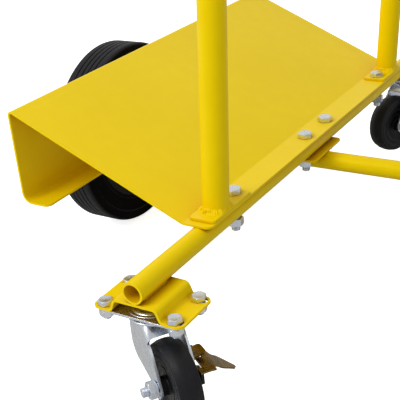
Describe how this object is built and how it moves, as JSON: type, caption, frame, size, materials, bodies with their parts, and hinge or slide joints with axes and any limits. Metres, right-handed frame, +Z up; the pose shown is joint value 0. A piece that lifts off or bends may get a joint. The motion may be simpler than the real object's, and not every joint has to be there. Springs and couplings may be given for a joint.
{
  "type": "panel trolley",
  "caption": "Low trolley with a folded sloping deck, a leaning upright frame, large wheels at the sides and a swivel caster at each end.",
  "frame": {"origin": "on the floor, below the crossing of the long tube and the cross tube", "axes": "+Z up, +Y along the long tube towards the caster without a brake, +X across, away from the folded deck"},
  "size_m": [0.8116, 0.9492, 1.1161],
  "materials": {
    "yellow_paint": "semi-gloss powder coat",
    "zinc": "bright zinc plate",
    "bare_steel": "turned, satin",
    "black_rubber": "moulded rubber",
    "black_plastic": "moulded, satin"
  },
  "bodies": {
    "frame": {"deck_plate": "yellow_paint", "long_tube": "yellow_paint", "cross_tube": "yellow_paint", "cross_plate": "yellow_paint", "lip_saddle": "yellow_paint", "near_hat": "yellow_paint", "far_hat": "yellow_paint", "near_foot": "yellow_paint", "far_foot": "yellow_paint", "push_hoop": "yellow_paint", "hoop_rail": "yellow_paint", "near_post_weld": "yellow_paint", "far_post_weld": "yellow_paint", "near_foot_bolt": "zinc", "near_foot_nut": "zinc", "far_foot_bolt": "zinc", "far_foot_nut": "zinc", "mid_bolts": "zinc", "mid_nuts": "zinc", "lip_bolts": "zinc", "lip_nuts": "zinc", "near_hat_bolts": "zinc", "near_hat_nuts": "zinc", "far_hat_bolts": "zinc", "far_hat_nuts": "zinc", "left_axle": "bare_steel", "left_axle_washers": "zinc", "left_axle_nut": "zinc", "right_axle": "bare_steel", "right_axle_washers": "zinc", "right_axle_nut": "zinc", "near_plate": "zinc", "near_kingpin": "zinc", "near_balls": "zinc", "far_plate": "zinc", "far_kingpin": "zinc", "far_balls": "zinc"},
    "left_wheel": {"left_tyre": "black_rubber", "left_rim": "black_plastic", "left_bearing": "zinc"},
    "right_wheel": {"right_tyre": "black_rubber", "right_rim": "black_plastic", "right_bearing": "zinc"},
    "near_swivel": {"near_fork": "zinc", "near_axle_bolt": "zinc", "near_axle_nut": "zinc", "near_pedal_pin": "zinc"},
    "near_roller": {"near_tyre": "black_rubber", "near_core": "black_plastic"},
    "near_brake": {"near_pedal": "zinc", "near_brake_pad": "black_rubber"},
    "far_swivel": {"far_fork": "zinc", "far_axle_bolt": "zinc", "far_axle_nut": "zinc"},
    "far_roller": {"far_tyre": "black_rubber", "far_core": "black_plastic"}
  },
  "joints": [
    {"name": "left_wheel_spin", "type": "hinge", "parent": "frame", "child": "left_wheel", "pos_m": [-0.3545, 0, 0.15], "axis": [1, 0, 0], "continuous": true},
    {"name": "right_wheel_spin", "type": "hinge", "parent": "frame", "child": "right_wheel", "pos_m": [0.3545, 0, 0.15], "axis": [1, 0, 0], "continuous": true},
    {"name": "near_caster_swivel", "type": "hinge", "parent": "frame", "child": "near_swivel", "pos_m": [0, -0.44, 0.14905], "axis": [0, 0, 1], "continuous": true},
    {"name": "near_roller_spin", "type": "hinge", "parent": "near_swivel", "child": "near_roller", "pos_m": [0.03919, -0.46594, 0.07155], "axis": [0.5519, 0.8339, 0], "continuous": true},
    {"name": "near_brake_press", "type": "hinge", "parent": "near_swivel", "child": "near_brake", "pos_m": [0.04297, -0.43306, 0.09105], "axis": [-0.8339, 0.5519, 0], "range_deg": [0, 12]},
    {"name": "far_caster_swivel", "type": "hinge", "parent": "frame", "child": "far_swivel", "pos_m": [0, 0.412, 0.14905], "axis": [0, 0, 1], "continuous": true},
    {"name": "far_roller_spin", "type": "hinge", "parent": "far_swivel", "child": "far_roller", "pos_m": [-0.01607, 0.36783, 0.07155], "axis": [0.9397, -0.342, 0], "continuous": true}
  ]
}
